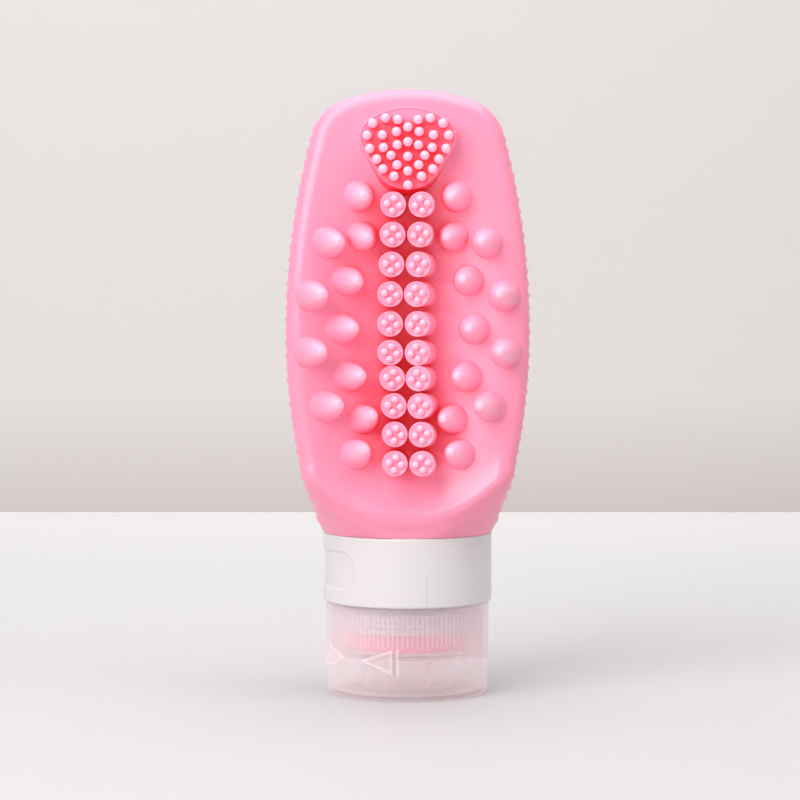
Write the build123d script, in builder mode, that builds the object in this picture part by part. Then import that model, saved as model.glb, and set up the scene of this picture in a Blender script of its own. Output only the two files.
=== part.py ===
from build123d import *
import os
from math import asin, atan2, cos, degrees, pi, radians, sin, sqrt

os.makedirs("parts", exist_ok=True)

# Travel bottle that stands upside down on its flip lid, in millimetres.
# Z runs up the bottle, the brush face looks along -Y, and the origin is the
# middle of the lid's flat face. An azimuth of 0 faces -Y and grows towards +X.

# Whole bottle
total_height = 140.0
widest_height = 85.0
body_half_width = 27.75
upper_side_radius = 174.0
lower_side_radius = 151.0
crown_radius = 46.0
crown_corner_radius = 11.0
cut_overrun = 1.0
cut_share = 0.1
round_share = 0.9
dish_cutter_share = 1.04

# Depth of the pouch, front to back, halved
neck_half_depth = 19.4
waist_half_depth = 18.4
crown_half_depth = 13.2
edge_radius = 3.5

# Silicone walls
pouch_wall = 1.9
neck_wall = 2.1
neck_bore_radius = 11.3
lip_height = 4.25
lip_overhang = 0.95

# Shoulder turned under the pouch, as radius and height over its base
shoulder_bend = (21.9, 3.2)
shoulder_spread = (34.0, 16.5)

# Collar ring and the parts inside it
ring_radius = 19.7
ring_wall = 1.2
ring_height = 16.0
ring_lip_height = 0.7
mark_width = 0.4
mark_height = 7.7
mark_depth = 0.15
mark_azimuth = 14.0
ring_edge_round = 0.3
window_height = 8.7
window_half_angle = 41.0
window_azimuth = -80.0
window_depth = 0.35
window_above_base = 3.65
label_ring_wall = 1.1
running_clearance = 0.1
press_clearance = 0.05
seat_clearance = 0.05
seam_gap = 0.35
flange_height = 1.25
flange_above_ring = 0.3
drum_wall = 1.2
thread_core_wall = 2.0
thread_depth = 0.75
thread_band_height = 4.4
thread_start_gap = 1.3

# Screw cap
cap_radius = 19.0
cap_height = 11.95
cap_wall = 1.2
cap_edge_chamfer = 0.4
deck_thickness = 1.3
inner_skirt_wall = 0.9
inner_skirt_gap = 0.6
rib_count = 96
rib_width = 0.45
rib_height = 7.4
rib_rise = 0.35
rib_above_deck = 1.6
nozzle_radius = 5.2
nozzle_wall = 1.2
nozzle_height = 1.7
thumb_scoop_radius = 4.0
thumb_scoop_depth = 0.7
thumb_scoop_width = 14.0

# Flip lid and its butterfly hinge
lid_radius = 18.75
lid_height = 9.25
lid_wall = 1.1
lid_face_thickness = 1.2
lid_edge_round = 1.0
seal_ring_wall = 0.8
seal_ring_clearance = 0.3
stop_ring_radius = 10.8
hinge_azimuth = -43.0
hinge_half_angle = 8.0
web_end_angle = 32.0
web_half_height = 2.9
web_film = 0.3
web_clearance = 0.35
web_slot = 1.1
web_rib_width = 0.8
web_rib_rise = 0.5
hinge_flat_sink = 0.05
seam_step_angle = 77.0
seam_step = 0.6

# Dosing valve and the ring that holds it
valve_flange_radius = 5.7
valve_flange_height = 0.8
valve_dome_rise = 1.2
valve_wall = 0.6
valve_slit_width = 0.3
valve_slit_length = 4.4
socket_wall = 1.0
socket_height = 2.6
retainer_height = 1.5
retainer_wall = 1.5

# Dish pressed into the brush face
dish_depth = 8.0
dish_width_share = 0.97
dish_height = 74.0
dish_reach_up = 52.0
dish_reach_down = 30.5
dish_rim_share = 0.03
dish_upper_power = 2.0
dish_lower_power = 2.5
dish_section_count = 15
dish_profile_spans = 14

# Ribs moulded into both sides as a grip
grip_tooth_count = 34
grip_pitch = 2.75
grip_tooth_width = 1.9
grip_tooth_rise = 0.5
grip_band_half_depth = 10.5
grip_root_sink = 0.6
grip_middle_height = 86.0

# Massage nubs
nub_base_radius = 3.5
nub_height = 7.5
nub_shoulder_radius = 2.75
nub_shoulder_height = 3.6
nub_tip_radius = 1.15
nub_tip_height = 6.7
nub_sink = 1.2
nub_places = [
    (11.1, 115.4), (10.5, 106.3), (18.0, 104.8), (13.9, 96.3), (21.7, 92.8), (15.3, 85.3),
    (22.0, 80.0), (13.7, 74.4), (18.6, 67.7), (10.4, 64.6), (12.0, 56.7),
]

# Brush posts, each with a cup of four small pins
post_radius = 2.9
post_height = 10.0
post_sink = 1.2
post_rows = 10
post_pitch = 6.6
post_top_row_height = 113.3
post_column_offset = 3.9
post_lean_share = 0.45
cup_depth = 1.3
cup_rim = 0.45
cup_pin_count = 4
cup_pin_radius = 0.72
cup_pin_circle = 1.4
pin_sides = 6

# Scrub pad near the crown, a rounded triangle with its point down
pad_height = 126.4
pad_shoulder_radius = 5.6
pad_shoulder_place = (5.6, 3.1)
pad_foot_radius = 4.6
pad_foot_place = (0.0, -5.1)
pad_crown_radius = 4.6
pad_crown_place = (0.0, 5.0)
pad_rise = 4.2
pad_sink = 1.6
pad_cup_depth = 2.8
pad_rim = 0.5
pad_pin_radius = 1.07
pad_centre_pins = [131.2, 127.9, 124.5, 121.2, 117.8]
pad_pin_pairs = [
    (2.2, 133.0), (5.0, 133.3), (8.0, 132.1), (2.5, 130.2), (5.7, 129.4), (9.4, 129.4), (2.5, 127.2),
    (5.5, 126.5), (8.6, 126.3), (3.8, 124.7), (7.1, 123.9), (2.4, 122.5), (5.6, 121.6), (3.1, 119.9),
]


# Heights and radii that follow from the sizes above
deck_base = lid_height + seat_clearance
deck_top = deck_base + deck_thickness
cap_top = deck_base + cap_height
ring_base = cap_top + seam_gap
ring_top = ring_base + ring_height
pouch_base = ring_top + seat_clearance
lip_base = deck_top + seat_clearance
thread_base = lip_base + lip_height + seat_clearance
flange_base = ring_base + flange_above_ring
flange_top = flange_base + flange_height
label_base = flange_top + seat_clearance
label_top = ring_top - ring_lip_height - seat_clearance
neck_radius = neck_bore_radius + neck_wall
ring_bore_radius = ring_radius - ring_wall
drum_radius = ring_bore_radius - running_clearance - label_ring_wall - press_clearance
collar_bore_radius = neck_radius + running_clearance
thread_core_radius = collar_bore_radius + thread_core_wall
thread_crest_radius = thread_core_radius + thread_depth
skirt_bore_radius = thread_crest_radius + running_clearance
skirt_radius = skirt_bore_radius + inner_skirt_wall
orifice_radius = nozzle_radius - nozzle_wall
socket_bore_radius = valve_flange_radius + running_clearance
dome_radius = orifice_radius - running_clearance
dome_base = deck_base - nozzle_height + valve_dome_rise
valve_base = deck_top + seat_clearance
retainer_base = valve_base + valve_flange_height + seat_clearance
hinge_height = lid_height + seat_clearance / 2
hinge_radius = (cap_radius + lid_radius) / 2
hinge_flat_radius = hinge_radius * cos(radians(hinge_half_angle)) - hinge_flat_sink
web_middle_angle = (hinge_half_angle + web_end_angle) / 2
web_half_length = hinge_radius * sin(radians(web_end_angle - hinge_half_angle) / 2)
web_plane_radius = hinge_radius * cos(radians(web_end_angle - hinge_half_angle) / 2)


def quadratic(height, knots):
    """Parabola through three (height, value) pairs."""
    total = 0
    for here, value in knots:
        share = 1
        for other, _ in knots:
            if other != here:
                share *= (height - other) / (here - other)
        total += share * value
    return total


def half_depth(height):
    """Distance of the flat brush face, and of the back, from the middle plane."""
    knots = [
        (pouch_base, neck_half_depth),
        (widest_height, waist_half_depth),
        (total_height, crown_half_depth),
    ]
    return quadratic(height, knots)


def side_radius(height):
    return upper_side_radius if height > widest_height else lower_side_radius


def half_width(height, inset=0):
    """Distance of the smooth side wall from the middle plane, on its two arcs."""
    radius = side_radius(height)
    reach = sqrt((radius - inset) ** 2 - (height - widest_height) ** 2)
    return body_half_width - radius + reach


def dish_fade(height):
    """Share of the dish's depth that is left above or below its deepest place."""
    if height > dish_height:
        return 1 - ((height - dish_height) / dish_reach_up) ** dish_upper_power
    return 1 - ((dish_height - height) / dish_reach_down) ** dish_lower_power


def dish(across, height):
    """How far the dish lies behind the flat face: a squared cosine across the width."""
    wave = cos(pi / 2 * across / (half_width(height) * dish_width_share)) ** 2
    return dish_depth * (dish_fade(height) * wave - dish_rim_share)


def seat(across, height, lean_share=1):
    """Plane on the pressed-in face, looking out along its normal or leaning in by a share."""
    step = seat_clearance
    rise_x = (dish(across + step, height) - dish(across - step, height)) / (2 * step) * lean_share
    face_up = dish(across, height + step) - half_depth(height + step)
    face_down = dish(across, height - step) - half_depth(height - step)
    rise_z = (face_up - face_down) / (2 * step)
    return Plane(
        origin=(across, dish(across, height) - half_depth(height), height),
        x_dir=(1, rise_x, 0),
        z_dir=(rise_x, -1, rise_z),
    )


def facing(azimuth, radius, height):
    """Upright plane that looks out from the bottle's axis at an azimuth."""
    turn = radians(azimuth)
    return Plane(
        origin=(radius * sin(turn), -radius * cos(turn), height),
        x_dir=(cos(turn), sin(turn), 0),
        z_dir=(sin(turn), -cos(turn), 0),
    )


def crown_meeting(inset):
    """Place where the upper side arc runs into the arc of the crown."""
    side_centre = Vector(body_half_width - upper_side_radius, widest_height)
    side_reach = upper_side_radius - inset
    crown_reach = crown_radius - inset
    between = Vector(0, total_height - crown_radius) - side_centre
    along = (side_reach**2 - crown_reach**2 + between.length**2) / (2 * between.length)
    across = sqrt(side_reach**2 - along**2)
    unit = between.normalized()
    return side_centre + unit * along + Vector(-unit.Y, unit.X) * across


def pouch(inset):
    """Front outline crossed with the side profile, with each wall moved in by the inset."""
    corner = crown_meeting(inset)
    middle_low = (pouch_base + widest_height) / 2
    middle_high = (widest_height + corner.Y) / 2
    crown_reach = crown_radius - inset
    half_crown = asin(corner.X / crown_reach) / 2
    crown_centre = total_height - crown_radius
    crown_middle = (crown_reach * sin(half_crown), crown_centre + crown_reach * cos(half_crown))
    low_corner = (half_width(pouch_base, inset), pouch_base)
    waist_corner = (body_half_width - inset, widest_height)
    beyond = total_height + crown_radius * cut_share
    with BuildPart() as blank:
        with BuildSketch(Plane.XZ) as outline:
            with BuildLine():
                Polyline((0, total_height - inset), (0, pouch_base), low_corner)
                ThreePointArc(low_corner, (half_width(middle_low, inset), middle_low), waist_corner)
                ThreePointArc(
                    waist_corner,
                    (half_width(middle_high, inset), middle_high),
                    (corner.X, corner.Y),
                )
                ThreePointArc((corner.X, corner.Y), crown_middle, (0, total_height - inset))
            make_face()
            fillet(outline.vertices().sort_by_distance(corner)[0], crown_corner_radius - inset)
            mirror(about=Plane.YZ)
        extrude(amount=neck_half_depth * 2, both=True)
        with BuildSketch(Plane.YZ):
            with BuildLine():
                Line((0, beyond), (0, pouch_base))
                Line((0, pouch_base), (half_depth(pouch_base) - inset, pouch_base))
                ThreePointArc(
                    (half_depth(pouch_base) - inset, pouch_base),
                    (half_depth(widest_height) - inset, widest_height),
                    (half_depth(beyond) - inset, beyond),
                )
                Line((half_depth(beyond) - inset, beyond), (0, beyond))
            make_face()
            mirror(about=Plane.YZ)
        extrude(amount=body_half_width * 2, both=True, mode=Mode.INTERSECT)
        rims = blank.edges().filter_by(Axis.Y, reverse=True)
        rims = rims.filter_by(lambda edge: edge.center().Z > pouch_base + pouch_wall * 2)
        fillet(rims, edge_radius - inset * round_share)
        lift = inset * sqrt(2)
        with BuildSketch(Plane.XZ):
            with BuildLine():
                foot = (ring_radius, pouch_base + lift)
                bend = (shoulder_bend[0], foot[1] + shoulder_bend[1])
                spread = (shoulder_spread[0], foot[1] + shoulder_spread[1])
                Polyline((0, beyond), (0, foot[1]), foot)
                ThreePointArc(foot, bend, spread)
                Polyline(spread, (spread[0], beyond), (0, beyond))
            make_face()
        revolve(axis=Axis.Z, mode=Mode.INTERSECT)
    return blank.part


def dish_cutter(inset):
    """Loft through cosine profiles, one for each height, open towards the front."""
    low = dish_height - dish_reach_down * dish_cutter_share
    high = dish_height + dish_reach_up * dish_cutter_share
    with BuildPart() as cutter:
        for level in range(dish_section_count):
            height = low + (high - low) * level / (dish_section_count - 1)
            reach = half_width(height) * dish_width_share
            face = inset - half_depth(height)
            profile = []
            for span in range(dish_profile_spans + 1):
                across = reach * (2 * span / dish_profile_spans - 1)
                profile.append((across, face + dish(across, height)))
            front = -neck_half_depth * 2
            with BuildSketch(Plane.XY.offset(height)):
                with BuildLine():
                    valley = Spline(*profile)
                    Polyline(valley @ 1, (reach, front), (-reach, front), valley @ 0)
                make_face()
        loft()
    return cutter.part


# Massage nub, a rounded cone with a ball tip that stands on its seat
nub_ball_drop = nub_height - nub_tip_height
nub_ball_radius = (nub_tip_radius**2 + nub_ball_drop**2) / (2 * nub_ball_drop)
nub_ball_turn = asin(nub_tip_radius / nub_ball_radius) / 2
nub_ball_middle = (
    nub_ball_radius * sin(nub_ball_turn),
    nub_height - nub_ball_radius * (1 - cos(nub_ball_turn)),
)
with BuildPart() as massage_nub:
    with BuildSketch(Plane.XZ):
        with BuildLine():
            Polyline((0, nub_height), (0, -nub_sink), (nub_base_radius, -nub_sink), (nub_base_radius, 0))
            ThreePointArc(
                (nub_base_radius, 0),
                (nub_shoulder_radius, nub_shoulder_height),
                (nub_tip_radius, nub_tip_height),
            )
            ThreePointArc((nub_tip_radius, nub_tip_height), nub_ball_middle, (0, nub_height))
        make_face()
    revolve(axis=Axis.Z)

# Brush post with its cup and four small pins
with BuildPart() as brush_post:
    with BuildSketch(Plane.XY.offset(-post_sink)):
        Circle(post_radius)
    extrude(amount=post_sink + post_height)
    with BuildSketch(Plane.XY.offset(post_height)):
        Circle(post_radius - cup_rim)
        with PolarLocations(cup_pin_circle, cup_pin_count):
            RegularPolygon(cup_pin_radius, pin_sides, mode=Mode.SUBTRACT)
    extrude(amount=-cup_depth, mode=Mode.SUBTRACT)

# Scrub pad with its cup of pins
pad_face = seat(0, pad_height)
pad_plane = Plane(
    origin=(0, -half_depth(pad_height), pad_height), x_dir=(1, 0, 0), z_dir=pad_face.z_dir
)
with BuildPart() as scrub_pad:
    with BuildSketch(pad_plane.offset(-pad_sink)) as pad_outline:
        with Locations(pad_foot_place):
            Circle(pad_foot_radius)
        with Locations(pad_crown_place):
            Circle(pad_crown_radius)
        for side in (-1, 1):
            with Locations((side * pad_shoulder_place[0], pad_shoulder_place[1])):
                Circle(pad_shoulder_radius)
        make_hull()
    extrude(amount=pad_sink + pad_rise)
    with BuildSketch(pad_plane.offset(pad_rise)):
        add(pad_outline.sketch_local)
        offset(amount=-pad_rim)
        for height in pad_centre_pins:
            with Locations((0, height - pad_height)):
                RegularPolygon(pad_pin_radius, pin_sides, mode=Mode.SUBTRACT)
        for across, height in pad_pin_pairs:
            for side in (-1, 1):
                with Locations((side * across, height - pad_height)):
                    RegularPolygon(pad_pin_radius, pin_sides, mode=Mode.SUBTRACT)
    extrude(amount=-pad_cup_depth, mode=Mode.SUBTRACT)

# Silicone pouch: hollow body, neck, sealing lip, grips and everything on its brush face
pouch_cavity = pouch(pouch_wall) - dish_cutter(pouch_wall)
nub_seats = [seat(side * across, height) for across, height in nub_places for side in (-1, 1)]
post_seats = [
    seat(side * post_column_offset, post_top_row_height - row * post_pitch, post_lean_share)
    for row in range(post_rows)
    for side in (-1, 1)
]
with BuildPart() as bottle_body:
    add(pouch(0))
    with BuildSketch(Plane.XZ):
        for tooth in range(grip_tooth_count):
            height = grip_middle_height + (tooth - (grip_tooth_count - 1) / 2) * grip_pitch
            tilt = degrees(asin((height - widest_height) / side_radius(height)))
            for side in (-1, 1):
                with Locations(Location((side * half_width(height), height), side * tilt)):
                    Polygon(
                        (-side * grip_root_sink, -grip_tooth_width / 2),
                        (0, -grip_tooth_width / 2),
                        (side * grip_tooth_rise, 0),
                        (0, grip_tooth_width / 2),
                        (-side * grip_root_sink, grip_tooth_width / 2),
                        align=None,
                    )
    extrude(amount=grip_band_half_depth, both=True)
    add(dish_cutter(0), mode=Mode.SUBTRACT)
    add(pouch_cavity, mode=Mode.SUBTRACT)
    with BuildSketch(Plane.XY.offset(lip_base)):
        Circle(neck_radius)
    extrude(amount=pouch_base - lip_base + cut_overrun)
    with BuildSketch(Plane.XY.offset(lip_base)):
        Circle(neck_radius + lip_overhang)
    extrude(amount=lip_height)
    with BuildSketch(Plane.XY.offset(lip_base)):
        Circle(neck_bore_radius)
    extrude(amount=pouch_base - lip_base + pouch_wall * 2, mode=Mode.SUBTRACT)
    with Locations(*nub_seats):
        add(massage_nub.part)
    with Locations(*post_seats):
        add(brush_post.part)
    add(scrub_pad.part)

# Thread collar: the hard sleeve round the silicone neck, with its flange and drum
with BuildPart() as thread_collar:
    with BuildSketch(Plane.XY.offset(thread_base)):
        Circle(thread_core_radius)
    extrude(amount=ring_top - thread_base)
    with BuildSketch(Plane.XY.offset(thread_base + thread_start_gap)):
        Circle(thread_crest_radius)
    extrude(amount=thread_band_height)
    with BuildSketch(Plane.XY.offset(flange_base)):
        Circle(ring_bore_radius - running_clearance)
    extrude(amount=flange_height)
    with BuildSketch(Plane.XY.offset(flange_base)):
        Circle(drum_radius)
    extrude(amount=ring_top - flange_base)
    with BuildSketch(Plane.XY.offset(ring_top)):
        Circle(drum_radius - drum_wall)
        Circle(collar_bore_radius + drum_wall, mode=Mode.SUBTRACT)
    extrude(amount=-(ring_top - flange_top), mode=Mode.SUBTRACT)
    with BuildSketch(Plane.XY.offset(thread_base)):
        Circle(collar_bore_radius)
    extrude(amount=ring_top - thread_base, mode=Mode.SUBTRACT)

# Label ring: the band under the outer ring that would carry the contents' name
with BuildPart() as label_ring:
    with BuildSketch(Plane.XY.offset(label_base)):
        Circle(ring_bore_radius - running_clearance)
        Circle(drum_radius + press_clearance, mode=Mode.SUBTRACT)
    extrude(amount=label_top - label_base)

# Window ring: the outer ring that turns, with its shallow rounded window
with BuildPart() as window_ring:
    with BuildSketch(Plane.XY.offset(ring_base)):
        Circle(ring_radius)
    extrude(amount=ring_height)
    fillet(window_ring.edges().group_by(Axis.Z)[0], ring_edge_round)
    with BuildSketch(Plane.XY.offset(ring_base)):
        Circle(ring_bore_radius)
    extrude(amount=ring_height - ring_lip_height, mode=Mode.SUBTRACT)
    with BuildSketch(Plane.XY.offset(ring_base)):
        Circle(drum_radius + running_clearance)
    extrude(amount=ring_height, mode=Mode.SUBTRACT)
    window_plane = facing(window_azimuth, 0, ring_base + window_above_base + window_height / 2)
    half_chord = ring_radius * sin(radians(window_half_angle))
    with BuildSketch(window_plane) as window_outline:
        SlotOverall(2 * half_chord, window_height)
    window_block = extrude(amount=ring_radius + cut_overrun, mode=Mode.PRIVATE)
    with BuildSketch(Plane.XY.offset(ring_base)) as window_band:
        Circle(ring_radius + cut_overrun)
        Circle(ring_radius - window_depth, mode=Mode.SUBTRACT)
    window_shell = extrude(amount=ring_height, mode=Mode.PRIVATE)
    add(window_block & window_shell, mode=Mode.SUBTRACT)
    with BuildSketch(facing(mark_azimuth, ring_radius - mark_depth, ring_base)):
        Rectangle(mark_width, mark_height, align=(Align.CENTER, Align.MIN))
    extrude(amount=cut_overrun, mode=Mode.SUBTRACT)


def sector(plane, radius, middle, half_angle):
    """Slice of a disc about an azimuth, as a sketch on a level plane."""
    with BuildSketch(plane) as slice_sketch:
        with BuildLine():
            rim = CenterArc((0, 0), radius, middle - 90 - half_angle, 2 * half_angle)
            Line(rim @ 1, (0, 0))
            Line((0, 0), rim @ 0)
        make_face()
    return slice_sketch.sketch


def web_plane(side, radius):
    """Upright plane behind one hinge web, at its middle azimuth."""
    return facing(hinge_azimuth + side * web_middle_angle, radius, hinge_height)


def web_window(side, depth):
    """Three-cornered cut round one hinge web, open past its free edge by the slot."""
    slope = web_half_height / (2 * web_half_length)
    tip = -web_half_length - web_clearance / sin(atan2(slope, 1))
    base = web_half_length + web_slot
    half_base = (base - tip) * slope
    with BuildPart() as window:
        with BuildSketch(web_plane(side, web_plane_radius - depth)):
            Polygon(
                (side * tip, 0), (side * base, -half_base), (side * base, half_base), align=None
            )
        extrude(amount=depth + hinge_radius)
    return window.part


def web_frame_rib(side, height, length):
    """Raised upright edge beside one window, on the cap or on the lid."""
    turn = hinge_azimuth + side * (web_end_angle + degrees(web_slot / hinge_radius))
    turn += side * degrees(web_rib_width / hinge_radius) / 2
    with BuildPart() as rib:
        with BuildSketch(facing(turn, lid_radius - lid_wall / 2, height)):
            Rectangle(web_rib_width, length, align=(Align.CENTER, Align.MIN))
        extrude(amount=cap_radius - lid_radius + lid_wall / 2 + web_rib_rise)
    return rib.part


def hinge_flat(height):
    """Block outside the fold line, so that the two walls clear each other when folded."""
    with BuildPart() as flat:
        with BuildSketch(facing(hinge_azimuth, hinge_flat_radius, height)):
            Rectangle(2 * web_half_length, web_half_height)
        extrude(amount=hinge_radius)
    return flat.part


thumb_azimuth = hinge_azimuth + 180
thumb_plane = facing(thumb_azimuth, cap_radius + thumb_scoop_radius - thumb_scoop_depth, hinge_height)
with BuildPart() as thumb_scoop:
    with Locations(thumb_plane):
        Cylinder(thumb_scoop_radius, thumb_scoop_width, rotation=(0, 90, 0))

# Screw cap: double skirt, grip ribs between the skirts, deck, nozzle and valve socket
with BuildPart() as screw_cap:
    with BuildSketch(Plane.XY.offset(deck_base)):
        Circle(cap_radius)
    extrude(amount=cap_height)
    chamfer(screw_cap.edges().group_by(Axis.Z)[-1], cap_edge_chamfer)
    with BuildSketch(Plane.XY.offset(deck_top)):
        Circle(cap_radius - cap_wall)
    extrude(amount=cap_height, mode=Mode.SUBTRACT)
    with BuildSketch(Plane.XY.offset(deck_base)):
        add(sector(Plane.XY, cap_radius, thumb_azimuth, 180 - seam_step_angle))
        Circle(cap_radius - cap_wall, mode=Mode.SUBTRACT)
    extrude(amount=-seam_step)
    with BuildSketch(Plane.XY.offset(deck_top)):
        Circle(skirt_radius)
        Circle(skirt_bore_radius, mode=Mode.SUBTRACT)
    extrude(amount=cap_height - deck_thickness - inner_skirt_gap)
    with BuildSketch(Plane.XY.offset(deck_top + rib_above_deck)):
        with PolarLocations(skirt_radius, rib_count):
            Rectangle(2 * rib_rise, rib_width)
        Circle(skirt_radius, mode=Mode.SUBTRACT)
    extrude(amount=rib_height)
    with BuildSketch(Plane.XY.offset(deck_top)):
        Circle(socket_bore_radius + socket_wall)
        Circle(socket_bore_radius, mode=Mode.SUBTRACT)
    extrude(amount=socket_height)
    with BuildSketch(Plane.XY.offset(deck_base)):
        Circle(nozzle_radius)
    extrude(amount=-nozzle_height)
    with BuildSketch(Plane.XY.offset(deck_top)):
        Circle(orifice_radius)
    extrude(amount=-deck_thickness - nozzle_height, mode=Mode.SUBTRACT)
    for side in (-1, 1):
        add(web_frame_rib(side, hinge_height + seat_clearance, web_half_height))
    for side in (-1, 1):
        add(web_window(side, web_film + web_clearance), mode=Mode.SUBTRACT)
    add(hinge_flat(hinge_height + web_half_height / 2), mode=Mode.SUBTRACT)
    add(thumb_scoop.part, mode=Mode.SUBTRACT)

# Flip lid: the flat foot that the bottle stands on, with its seal ring and stop ring
with BuildPart() as flip_lid:
    with BuildSketch(Plane.XY):
        Circle(lid_radius)
    extrude(amount=lid_height)
    fillet(flip_lid.edges().group_by(Axis.Z)[0], lid_edge_round)
    with BuildSketch(Plane.XY.offset(lid_face_thickness)):
        Circle(lid_radius - lid_wall)
    extrude(amount=lid_height, mode=Mode.SUBTRACT)
    with BuildSketch(Plane.XY.offset(lid_face_thickness)):
        Circle(nozzle_radius + seal_ring_clearance + seal_ring_wall)
        Circle(nozzle_radius + seal_ring_clearance, mode=Mode.SUBTRACT)
    extrude(amount=lid_height - lid_face_thickness - seal_ring_clearance)
    with BuildSketch(Plane.XY.offset(lid_face_thickness)):
        Circle(stop_ring_radius)
        Circle(stop_ring_radius - seal_ring_wall, mode=Mode.SUBTRACT)
    extrude(amount=lid_height - lid_face_thickness - seal_ring_clearance)
    with BuildSketch(Plane.XY.offset(lid_height)):
        add(sector(Plane.XY, cap_radius + cut_overrun, thumb_azimuth, 180 - seam_step_angle))
        Circle(lid_radius - lid_wall - cut_overrun, mode=Mode.SUBTRACT)
    extrude(amount=-seam_step, mode=Mode.SUBTRACT)
    for side in (-1, 1):
        add(web_frame_rib(side, hinge_height - web_half_height, web_half_height - seat_clearance))
    for side in (-1, 1):
        add(web_window(side, lid_wall * 2), mode=Mode.SUBTRACT)
    add(hinge_flat(hinge_height - web_half_height / 2), mode=Mode.SUBTRACT)
    add(thumb_scoop.part, mode=Mode.SUBTRACT)


def hinge_web(side):
    """Three-cornered film that folds out between the cap and the lid."""
    with BuildPart() as web:
        with BuildSketch(web_plane(side, web_plane_radius)):
            Polygon(
                (-side * web_half_length, 0),
                (side * web_half_length, -web_half_height),
                (side * web_half_length, web_half_height),
                align=None,
            )
        extrude(amount=-web_film)
    return web


hinge_web_front = hinge_web(1)
hinge_web_back = hinge_web(-1)

# Dosing valve: a soft cross-slit dome on a flange, held inside the cap's socket
with BuildPart() as dosing_valve:
    with BuildSketch(Plane.XY.offset(valve_base)):
        Circle(valve_flange_radius)
    extrude(amount=valve_flange_height)
    with BuildSketch(Plane.XY.offset(dome_base)):
        Circle(dome_radius)
    extrude(amount=valve_base - dome_base)
    fillet(dosing_valve.edges().group_by(Axis.Z)[0], valve_wall)
    with BuildSketch(Plane.XY.offset(dome_base + valve_wall)):
        Circle(dome_radius - valve_wall)
    extrude(amount=deck_top, mode=Mode.SUBTRACT)
    with BuildSketch(Plane.XY.offset(dome_base)):
        Rectangle(valve_slit_length, valve_slit_width)
        Rectangle(valve_slit_width, valve_slit_length)
    extrude(amount=valve_wall, mode=Mode.SUBTRACT)

# Ring that holds the valve's flange down in its socket
with BuildPart() as valve_retainer:
    with BuildSketch(Plane.XY.offset(retainer_base)):
        Circle(socket_bore_radius - press_clearance)
        Circle(socket_bore_radius - retainer_wall, mode=Mode.SUBTRACT)
    extrude(amount=retainer_height)

pieces = {
    "bottle_body": bottle_body,
    "thread_collar": thread_collar,
    "label_ring": label_ring,
    "window_ring": window_ring,
    "screw_cap": screw_cap,
    "flip_lid": flip_lid,
    "hinge_web_front": hinge_web_front,
    "hinge_web_back": hinge_web_back,
    "dosing_valve": dosing_valve,
    "valve_retainer": valve_retainer,
}
for label, piece in pieces.items():
    piece.part.label = label
    export_step(piece.part, f"parts/{label}.step")
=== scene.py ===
# %% [markdown]
# # A travel bottle with a brush face
# The object is a squeezable silicone bottle that stands upside down on its flip lid. The
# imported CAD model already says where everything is. This file gives each piece the soft
# forms and the finishes that a CAD solid leaves out.
#
# Lengths are written in millimetres, because that is how such a bottle is drawn, and one
# factor turns them into Blender's metres. Z runs up the bottle and the brush looks along -Y.

import bmesh
import bpy
import numpy as np
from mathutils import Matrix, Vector


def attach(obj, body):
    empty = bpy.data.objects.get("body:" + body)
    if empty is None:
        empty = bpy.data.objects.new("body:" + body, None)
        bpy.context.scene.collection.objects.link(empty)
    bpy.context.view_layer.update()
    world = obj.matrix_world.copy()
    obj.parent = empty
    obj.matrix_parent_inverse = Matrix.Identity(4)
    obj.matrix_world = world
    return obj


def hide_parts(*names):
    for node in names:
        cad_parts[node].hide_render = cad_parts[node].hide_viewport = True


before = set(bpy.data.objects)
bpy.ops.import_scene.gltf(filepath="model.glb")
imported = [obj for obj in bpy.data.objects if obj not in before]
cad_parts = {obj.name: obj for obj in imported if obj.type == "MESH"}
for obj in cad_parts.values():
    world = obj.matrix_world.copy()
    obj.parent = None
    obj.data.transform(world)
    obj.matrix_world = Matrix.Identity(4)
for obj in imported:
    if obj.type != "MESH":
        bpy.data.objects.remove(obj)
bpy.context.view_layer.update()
MM = 0.001

# %% [markdown]
# ## From a grid of points to a mesh
# Every new piece here is a surface: a table of points with rows and columns. One helper
# turns such tables into a mesh. Where a table closes on itself, its first and last columns
# hold the same points. Merging them closes the seam, and does the same for a pole, where a
# whole row is one point.


# %% Helpers for grids
MERGE_MM = 1e-4


def grid_faces(rows, columns):
    """Each face joins the points (r, c), (r, c+1), (r+1, c+1) and (r+1, c) of the table."""
    corner = np.arange(rows * columns).reshape(rows, columns)
    return np.stack(
        [corner[:-1, :-1], corner[:-1, 1:], corner[1:, 1:], corner[1:, :-1]], axis=-1
    ).reshape(-1, 4)


def enter(name, mesh, body):
    """Puts a finished mesh into the scene as a piece that rides on a body."""
    piece = bpy.data.objects.new(name, mesh)
    bpy.context.scene.collection.objects.link(piece)
    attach(piece, body)
    print(f"{name}: {len(mesh.vertices)} points, {len(mesh.polygons)} faces")
    return piece


def make_piece(name, grids, body):
    """Joins tables of points, each rows x columns x 3 in mm, into one closed smooth mesh."""
    points, faces, count = [], [], 0
    for grid in grids:
        rows, columns = grid.shape[:2]
        points.append(grid.reshape(-1, 3))
        faces.append(grid_faces(rows, columns) + count)
        count += rows * columns
    mesh = bpy.data.meshes.new(name)
    mesh.from_pydata(np.concatenate(points) * MM, [], np.concatenate(faces).tolist())
    build = bmesh.new()
    build.from_mesh(mesh)
    bmesh.ops.remove_doubles(build, verts=build.verts, dist=MERGE_MM * MM)
    bmesh.ops.recalc_face_normals(build, faces=build.faces)
    build.to_mesh(mesh)
    build.free()
    mesh.polygons.foreach_set("use_smooth", np.ones(len(mesh.polygons), bool))
    return enter(name, mesh, body)


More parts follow.
